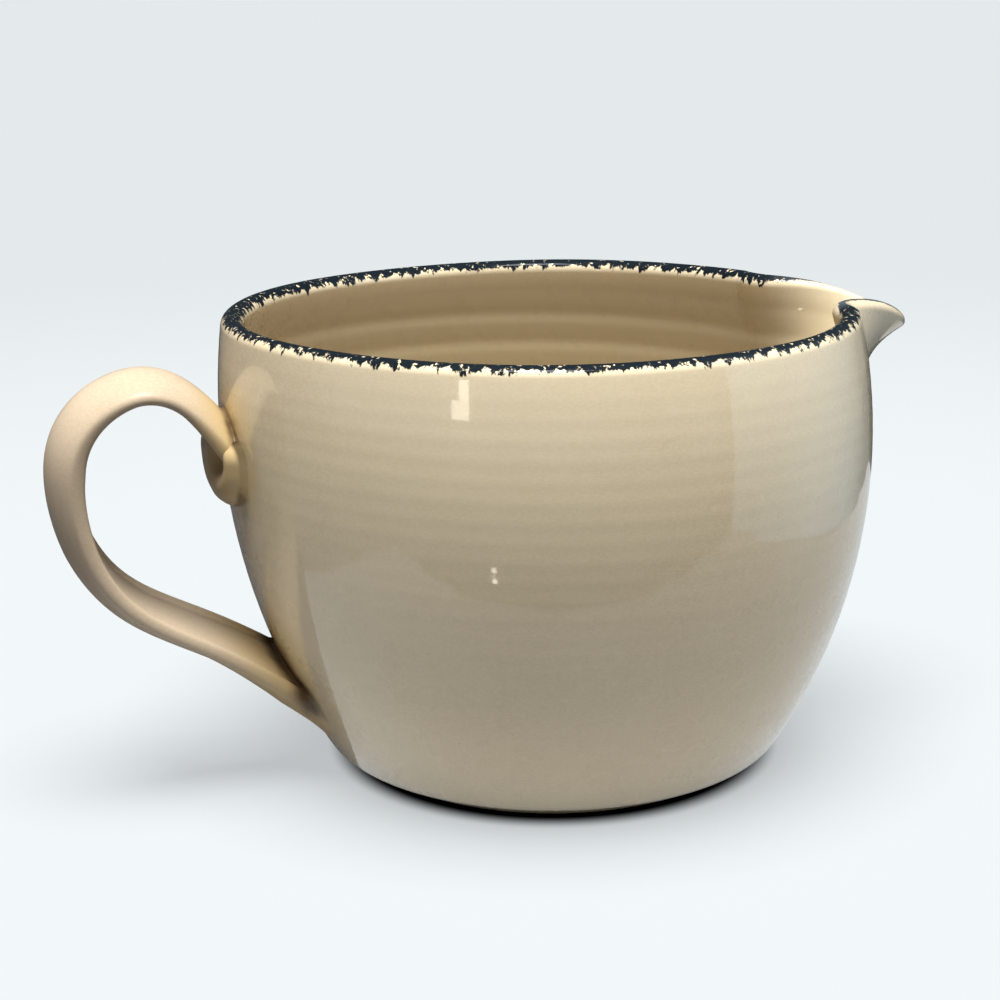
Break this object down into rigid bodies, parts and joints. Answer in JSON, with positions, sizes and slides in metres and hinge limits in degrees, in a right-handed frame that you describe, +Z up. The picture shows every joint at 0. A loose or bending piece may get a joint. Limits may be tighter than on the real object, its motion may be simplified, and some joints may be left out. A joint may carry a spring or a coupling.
{
  "type": "batter bowl",
  "caption": "Round-bellied stoneware mixing bowl with a looped strap handle, a drooping pouring spout opposite it and a sponged dark band on the rim.",
  "frame": {"origin": "centre of the foot ring, on the surface that the bowl stands on", "axes": "+Z up along the bowl's axis; +X towards the pouring spout; -X towards the handle"},
  "size_m": [0.2576, 0.186, 0.131],
  "materials": {
    "cream_glaze": "gloss",
    "handle_glaze": "gloss",
    "blue_slip": "gloss",
    "grey_slip": "gloss"
  },
  "bodies": {
    "root": {"bowl_body": "cream_glaze", "pouring_spout": "cream_glaze", "strap_handle": "handle_glaze", "upper_joint_coil": "handle_glaze", "rim_band": "blue_slip", "spout_band": "grey_slip"}
  },
  "joints": []
}
